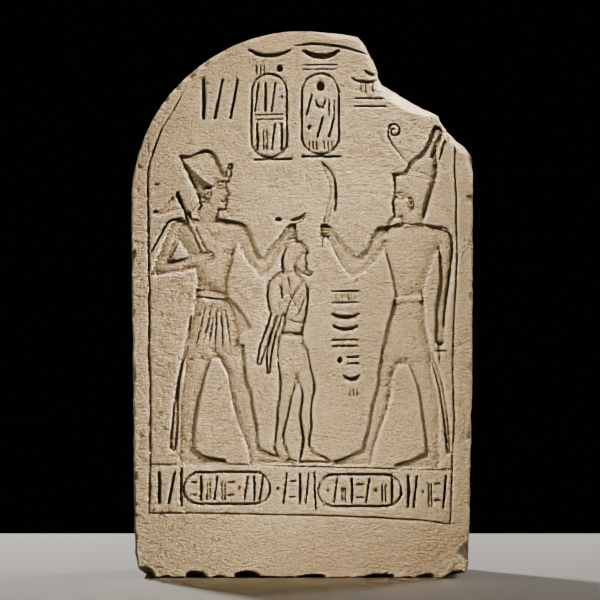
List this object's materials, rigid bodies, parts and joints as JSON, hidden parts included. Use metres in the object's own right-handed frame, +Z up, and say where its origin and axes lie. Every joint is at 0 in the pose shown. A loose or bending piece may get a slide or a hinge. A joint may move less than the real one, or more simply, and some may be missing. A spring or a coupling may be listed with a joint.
{
  "type": "carved stone stele",
  "caption": "Round-topped carved limestone stele with a broken upper corner, figures in sunk relief, an incised border and rows of plain strokes.",
  "frame": {"origin": "centre of the flat underside", "axes": "+Z up, -Y out of the carved face, +X to the viewer's right"},
  "size_m": [0.428, 0.115, 0.6826],
  "materials": {
    "limestone": "weathered, pitted, matt"
  },
  "bodies": {
    "root": {"stele": "limestone"}
  },
  "joints": []
}
